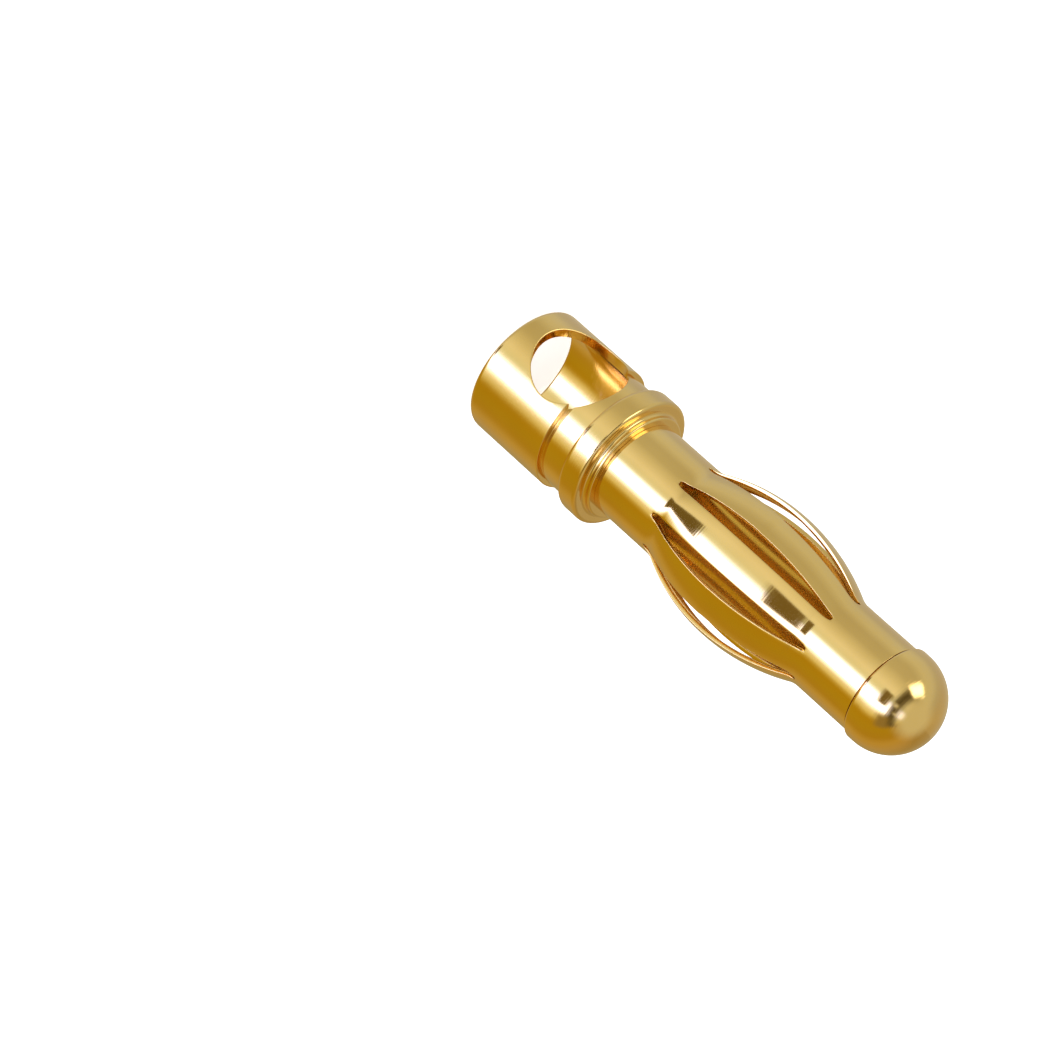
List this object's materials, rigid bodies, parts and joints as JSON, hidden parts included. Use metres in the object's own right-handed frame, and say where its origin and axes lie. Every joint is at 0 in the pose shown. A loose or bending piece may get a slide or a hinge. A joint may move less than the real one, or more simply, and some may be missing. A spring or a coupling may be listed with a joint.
{
  "type": "bullet plug",
  "caption": "Sprung round plug contact for a battery lead, with a solder cup, collar, slotted spring cage and domed nose.",
  "frame": {"origin": "centre of the solder cup's mouth, so the plug stands on the cup's rim", "axes": "+Z along the plug, from the solder cup to the nose; the round solder window in the cup's wall faces -Y"},
  "size_m": [0.005, 0.005, 0.0196],
  "materials": {
    "turned_gold": "polished gold plate",
    "spring_gold": "polished gold plate, deeper in tone",
    "nose_gold": "polished gold plate"
  },
  "bodies": {
    "root": {"contact_body": "turned_gold", "contact_cage": "spring_gold", "nose_cap": "nose_gold"}
  },
  "joints": []
}
